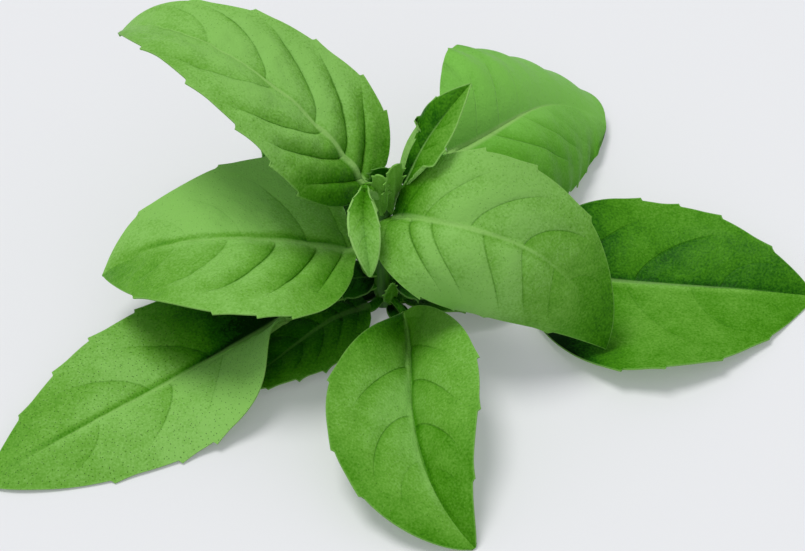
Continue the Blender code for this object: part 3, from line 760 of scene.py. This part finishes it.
def makeStem():
    sides = stem["sides"]
    rings = stem["rings"]
    points = []
    for height in np.linspace(0, stem["height"], rings):
        center = stemCenter(height)
        for side in range(sides):
            angle = 2 * math.pi * side / sides
            radius = stemHalfWidth(height) * (1 - stem["corner"] * math.cos(4 * angle))
            points.append(center + radius * np.array([math.cos(angle), math.sin(angle), 0.0]))
    faces = []
    for ring in range(rings - 1):
        for side in range(sides):
            a = ring * sides + side
            b = ring * sides + (side + 1) % sides
            faces.append((a, b, b + sides, a + sides))
    faces.append(tuple(reversed(range(sides))))
    faces.append(tuple(range((rings - 1) * sides, rings * sides)))
    mesh = bpy.data.meshes.new("stemStalk")
    mesh.from_pydata([tuple(point * mm + foot) for point in points], [], faces)
    mesh.materials.append(stemGreen)
    mesh.shade_smooth()
    mesh.set_sharp_from_angle(angle=math.radians(50))
    piece = bpy.data.objects.new("stemStalk", mesh)
    bpy.context.scene.collection.objects.link(piece)
    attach(piece, "root")
    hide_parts("stem")


makeStem()

# Leaflets of the growing tip, blunt and toothed, wrapped around the stem's end
budLeaflet = dict(
    youngLeaf, node=None, size=0.4, stalkWidth=0.76, stalkStart=0.0, stalkRows=6, rows=70, points=22,
    roll=(0, 0, 0), foldLeft=(30, 5), foldRight=(30, 5), curlLeft=-20, curlRight=-20,
    widest=0.6, taper=0.32, shareLeft=1.0, shareRight=1.0, toothDepth=1.0, toothLength=0.1,
    teethLeft=(0.66, 0.84, 0.97), teethRight=(0.55, 0.76, 0.94), swell=0.15, rib=0.1,
    toneAndShade=0.75, underToneAndShade=0.75,
)

budRight = dict(
    budLeaflet, joint=23.5, base=(1.3, -0.9, 24.2), length=12.2, width=4.0,
    heading=(-60, -60, -60), pitch=(78, 86, 92), roll=(10, 10, 10), seed=131,
)
makeLeaf("budLeafletRight", budRight, budGreen, budGreen)

budLeft = dict(
    budLeaflet, joint=23.5, base=(-0.5, -1.5, 24.4), length=10.0, width=3.2,
    heading=(-112, -112, -112), pitch=(78, 87, 92), seed=132,
)
makeLeaf("budLeafletLeft", budLeft, budGreen, budGreen)

budBack = dict(
    budLeaflet, joint=24.5, base=(-0.5, 1.6, 25.5), length=6.2, width=4.2,
    # The back leaflet is darker as painted shade
    heading=(100, 100, 100), pitch=(70, 82, 88), toneAndShade=0.3, underToneAndShade=0.3, seed=133,
)
makeLeaf("budLeafletBack", budBack, budGreen, budGreen)

# Side shoots in the lowest leaf joints: a small upright leaflet and two low spreading ones,
# the spreading ones dark with painted shade
sideFront = dict(
    budLeaflet, joint=2.2, base=(0.9, -2.3, 2.2), length=6.2, width=3.0, widest=0.35, taper=0.7,
    heading=(-66, -66, -66), pitch=(70, 82, 88), underToneAndShade=0.5, seed=134,
)
makeLeaf("sideLeafletFront", sideFront, budGreen, budGreen)

spreadLeaflet = dict(
    budLeaflet, pitch=(0, 4, 0), foldLeft=(10, 5), foldRight=(10, 5), widest=0.45, taper=0.5,
    toneAndShade=0.2, underToneAndShade=0.2,
)
sideLeft = dict(
    spreadLeaflet, joint=7.0, base=(-2.0, -0.4, 7.2), length=9.5, width=9.5,
    heading=(190, 190, 190), seed=135,
)
makeLeaf("sideLeafletLeft", sideLeft, budGreen, budGreen)

sideRight = dict(
    spreadLeaflet, joint=6.6, base=(2.0, -0.6, 6.8), length=9.0, width=9.0,
    heading=(-10, -10, -10), seed=136,
)
makeLeaf("sideLeafletRight", sideRight, budGreen, budGreen)

# The lowest leaflets lie close round the foot of the stem, in the shaded gaps there, and are
# dark with painted shade
footLeaflet = dict(spreadLeaflet, widest=0.42, toneAndShade=0.12, underToneAndShade=0.1)
footLeft = dict(
    footLeaflet, joint=1.2, base=(-1.6, 0.9, 1.3), length=7.5, width=5.0,
    heading=(176, 176, 176), seed=137,
)
makeLeaf("footLeafletLeft", footLeft, budGreen, budGreen)

footRight = dict(
    footLeaflet, joint=1.6, base=(1.6, 0.7, 1.7), length=8.5, width=6.0, heading=(8, 8, 8), seed=138,
)
makeLeaf("footLeafletRight", footRight, budGreen, budGreen)

footFront = dict(
    footLeaflet, joint=1.2, base=(1.2, -1.7, 1.3), length=6.5, width=4.0,
    heading=(-62, -62, -62), seed=139,
)
makeLeaf("footLeafletFront", footFront, budGreen, budGreen)
print("basil sprig: stem and leaflets made")


# Floor, light and camera

floorHalf = 3  # metres
floorHeight = -0.0001  # metres, just under the sprig
floorMesh = bpy.data.meshes.new("studioFloor")
corners = [(x * floorHalf, y * floorHalf, floorHeight) for x, y in ((-1, -1), (1, -1), (1, 1), (-1, 1))]
floorMesh.from_pydata(corners, [], [(0, 1, 2, 3)])
studioFloor = bpy.data.objects.new("studioFloor", floorMesh)
bpy.context.scene.collection.objects.link(studioFloor)
floorPaint, floorTree, floorShader = newMaterial("paleFloor")
floorShader.inputs["Base Color"].default_value = (0.651, 0.656, 0.67, 1)
floorShader.inputs["Emission Color"].default_value = (0.97, 0.98, 1.0, 1)
floorShader.inputs["Emission Strength"].default_value = 0.16
floorShader.inputs["Roughness"].default_value = 0.9
floorShader.inputs["Specular IOR Level"].default_value = 0.1
floorMesh.materials.append(floorPaint)


def makeSun(name, towards, strength, softness, color):
    lamp = bpy.data.lights.new(name, "SUN")
    lamp.energy = strength
    lamp.angle = math.radians(softness)
    lamp.color = color
    sun = bpy.data.objects.new(name, lamp)
    direction = np.array(towards) / np.linalg.norm(towards)
    sun.rotation_euler = (0, math.acos(direction[2]), math.atan2(direction[1], direction[0]))
    bpy.context.scene.collection.objects.link(sun)


makeSun("keyLight", towards=(-0.28, 0.18, 0.94), strength=1.74, softness=24, color=(1.0, 0.99, 0.97))
makeSun("fillLight", towards=(-0.1, -0.8, 0.6), strength=0.15, softness=60, color=(1.0, 1.0, 1.0))
world = bpy.data.worlds.new("studioRoom")
world.use_nodes = True
world.node_tree.nodes["Background"].inputs["Color"].default_value = (0.93, 0.95, 1.0, 1)
world.node_tree.nodes["Background"].inputs["Strength"].default_value = 0.52
world.cycles_visibility.glossy = False
bpy.context.scene.world = world
bpy.context.scene.view_settings.view_transform = "Standard"

cameraPlace = (3.15, -286.44, 314.17)  # mm, from the foot of the stem
cameraTilt = 43  # degrees from straight down
cameraData = bpy.data.cameras.new("productCamera")
cameraData.lens = 104.35
cameraData.clip_start = 0.01
camera = bpy.data.objects.new("productCamera", cameraData)
camera.location = foot + np.array(cameraPlace) * mm
camera.rotation_euler = (math.radians(cameraTilt), 0, 0)
bpy.context.scene.collection.objects.link(camera)
bpy.context.scene.camera = camera
print("basil sprig: studio ready")
